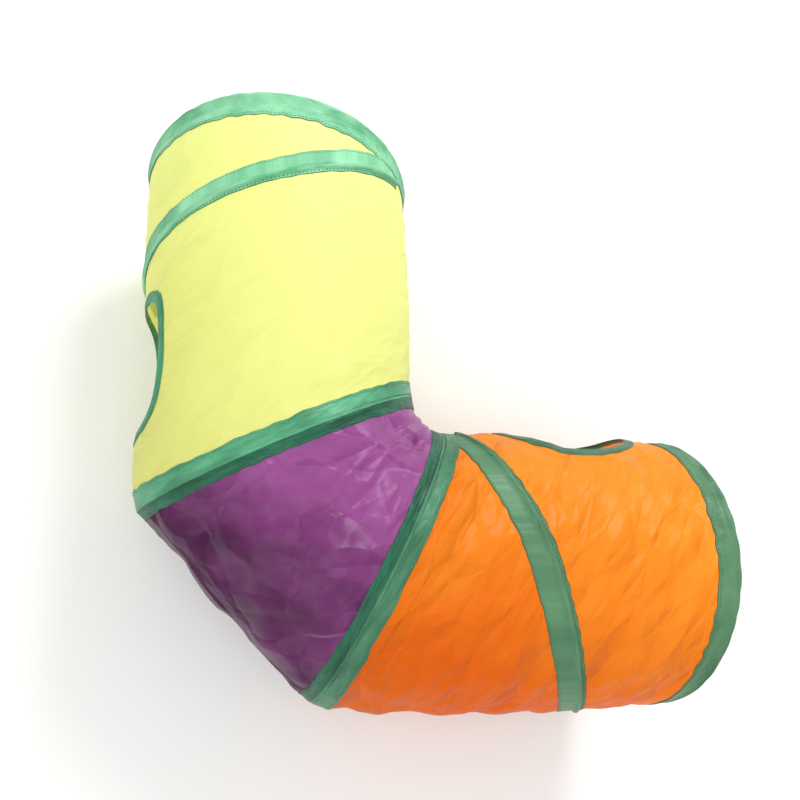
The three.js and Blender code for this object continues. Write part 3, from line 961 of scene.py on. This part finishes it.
def spiral_tape(colour):
    """The spiral tape with its wire, which runs in a low ridge near one edge."""
    tube, seed = tubes[colour], SEED[colour]
    half, ridge = SPIRAL_TAPE[colour], SPIRAL_RIDGE[colour]
    turn = np.linspace(0, 360, AROUND + 1)
    long, here = tube.length(turn), spiral_along(colour, turn)
    clear = np.minimum(here * long - ELBOW_TAPE, (1 - here) * long - END_TAPE)
    shown = np.flatnonzero(clear > -half)
    turn = np.linspace(turn[shown[0]], turn[shown[-1]], AROUND)
    long, here = tube.length(turn), spiral_along(colour, turn)
    slope = np.gradient(here * long, np.radians(turn) * tube.start.half[1])
    drawn = np.hypot(1, slope)
    gather = soft_noise(AROUND, 0.05 * MM, seed + 7, 60, 130) * 0.6

    def place(across, lift):
        low, high = (ELBOW_TAPE - 6 * MM) / long, 1 - 14 * MM / long
        return tube.wall(np.clip(here + across * drawn / long, low, high), turn, lift)

    left = -half + soft_noise(AROUND, 0.25 * MM, seed + 6)
    right = half + soft_noise(AROUND, 0.25 * MM, seed + 3)
    flat = (0.12, 0.4, 0.7, 0.9)
    columns = [place(left, TOP * 0.4), place(left + 0.5 * MM, TOP * 1.1)]
    columns += [place(left + (ridge - 2.2 * MM - left) * s, TOP + gather) for s in flat]
    for a in np.radians((165, 135, 90, 45, 15)):
        high = SPIRAL_SEAT + np.sin(a) * 1.5 * MM + gather * 0.5
        columns.append(place(ridge + np.cos(a) * 1.7 * MM, high))
    columns += [place(right + (ridge + 2.2 * MM - right) * s, TOP + gather) for s in flat[::-1]]
    columns += [place(right - 0.5 * MM, TOP * 1.1), place(right, TOP * 0.4)]
    last = len(columns) - 1
    columns += [
        place(right + (left - right) * s, UNDER) for s in np.linspace(0, 1, len(columns))
    ]
    section = keep_off_floor(np.stack(columns, 1))
    seams = [
        (place(across, TOP + 0.05 * MM), tube.normal(here + across * drawn / long, turn))
        for across in (left + 1.8 * MM, ridge - 3 * MM, ridge + 3 * MM, right - 1.8 * MM)
    ]
    weights = follows_end(colour, here, turn)[:, None]
    tape_piece(
        f"{colour}_spiral_tape", section, f"{colour}_spiral_casing", colour, colour, seams,
        np.repeat(weights, section.shape[1], 1), ring=False, hems=(0, last - 1),
    )

    rod = np.stack([
        place(ridge + np.cos(a) * WIRE, SPIRAL_SEAT + np.sin(a) * WIRE)
        for a in np.radians(np.arange(0, 360, 45))
    ], 1)
    cap = [[0, 1, 2, 3], [0, 3, 4, 7], [4, 5, 6, 7]]
    faces = np.concatenate([grid_faces(AROUND, 8, ring_cols=True), cap])
    wire = new_mesh(f"{colour}_spiral_rod", rod, faces, [steel])
    bend(wire, colour, np.repeat(weights, 8, 1))
    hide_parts(f"{colour}_spiral_wire")


# The outline of a peep hole's binding: how far outside the rim and above the cloth, in mm.
BINDING = [
    (8, 0.5), (7.6, 0.8), (4, 0.9), (0.5, 0.9), (-0.8, 0.7), (-1.3, 0), (-0.8, -0.7),
    (0.5, -0.9), (4, -0.9), (7.6, -0.8), (8, -0.3), (4, -0.3), (4, 0.3), (8, 0.3),
]


def hole_trim(colour):
    """The binding folded over the rim of a peep hole."""
    tube, hole = tubes[colour], PEEP_HOLES[colour]
    angle = np.arange(RIM_AROUND) * 2 * np.pi / RIM_AROUND
    lengthwise, upward = (
        np.sign(way) * np.abs(way) ** (2 / hole["square"]) for way in (np.cos(angle), np.sin(angle))
    )

    def rim(outside, lift):
        half_long, half_high = hole["half"]
        rise = (half_high + outside) * upward / tube.start.half[1]
        turn = hole["turn"] + np.degrees(np.arcsin(rise))
        along = hole["along"] + (half_long + outside) * lengthwise / tube.length(turn)
        return along, turn, tube.wall(along, turn, lift)

    wave = soft_noise(RIM_AROUND, 0.3 * MM, SEED[colour] + 9, 6, 30)
    section, weights = [], []
    for outside, lift in BINDING:
        along, turn, points = rim(outside * MM + wave * (outside > 5), lift * MM)
        section.append(points)
        weights.append(follows_end(colour, along, turn))
    along, turn, points = rim(6.2 * MM, 0.95 * MM)
    tape_piece(
        f"{colour}_hole_trim", np.stack(section, 1), f"{colour}_hole_binding", colour,
        f"{colour} rim", [(points, tube.normal(along, turn))], np.stack(weights, 1),
    )


for colour in ("yellow", "orange"):
    elbow_tape(colour)
    end_tape(colour)
    spiral_tape(colour)
    hole_trim(colour)

for node, ob in frame["nodes"].items():
    if not ob.hide_render:
        for slot in ob.material_slots:
            slot.material = sleeve if node.endswith("ferrule") else steel

# ---------- each panel's size -----------

for colour, tube in tubes.items():
    around = 2 * np.pi * np.mean(tube.start.half)
    lengths = tube.length(tube.turns)
    # The elbow is cut as a wedge, which is longest on the outside of the bend.
    longest = tube.length(np.array([180.0]))[0] if colour == "purple" else lengths.max()
    area = around * lengths.mean()
    if colour in PEEP_HOLES:
        area -= np.pi * CUT_HOLE[0] * CUT_HOLE[1]

# ---------- floor, light and camera ----------

low, high = box_at_start
middle = (Vector(low) + Vector(high)) / 2

material, _, bsdf, _ = nodes_of("pale floor")
bsdf.inputs["Base Color"].default_value = (0.86, 0.86, 0.85, 1)
bsdf.inputs["Roughness"].default_value = 0.9
bpy.ops.mesh.primitive_plane_add(size=12, location=(0, 0, low[2]))
ground = bpy.context.object
ground.name = "ground"
ground.data.materials.append(material)

world = bpy.data.worlds.new("studio")
bpy.context.scene.world = world
world.use_nodes = True
world.node_tree.nodes["Background"].inputs["Color"].default_value = (1, 1, 0.99, 1)
world.node_tree.nodes["Background"].inputs["Strength"].default_value = 0.8


def softbox(name, where, size, power):
    """A round lamp, placed from the object's middle and turned to it."""
    data = bpy.data.lights.new(name, "AREA")
    data.shape, data.size, data.energy = "DISK", size, power
    lamp = bpy.data.objects.new(name, data)
    bpy.context.scene.collection.objects.link(lamp)
    lamp.location = middle + Vector(where)
    lamp.rotation_euler = (-Vector(where)).to_track_quat("-Z", "Y").to_euler()


softbox("key", (0.8, 1.5, 1.4), 0.9, 32)
softbox("top", (-0.4, -0.5, 2.4), 1.8, 13)
softbox("fill", (-1.5, -1.3, 1.3), 1.4, 10)

# Seen from nearly overhead: what the camera looks at, the way back from there to the camera and
# how far that is, and the way that is to the right in the picture.
looked_at, distance = Vector((-0.0194, 0.0149, 0.122)), 1.0558
back = Vector((-0.177, -0.177, 0.968)).normalized()
right = Vector((0.984, -0.005, 0.179))
right = (right - right.dot(back) * back).normalized()
camera = bpy.data.objects.new("camera", bpy.data.cameras.new("camera"))
bpy.context.scene.collection.objects.link(camera)
camera.data.lens, camera.data.sensor_width = 49.8, 36
axes = Matrix((right, back.cross(right), back)).transposed()
camera.matrix_world = Matrix.Translation(looked_at + back * distance) @ axes.to_4x4()
bpy.context.scene.camera = camera
bpy.context.scene.view_settings.view_transform = "Standard"
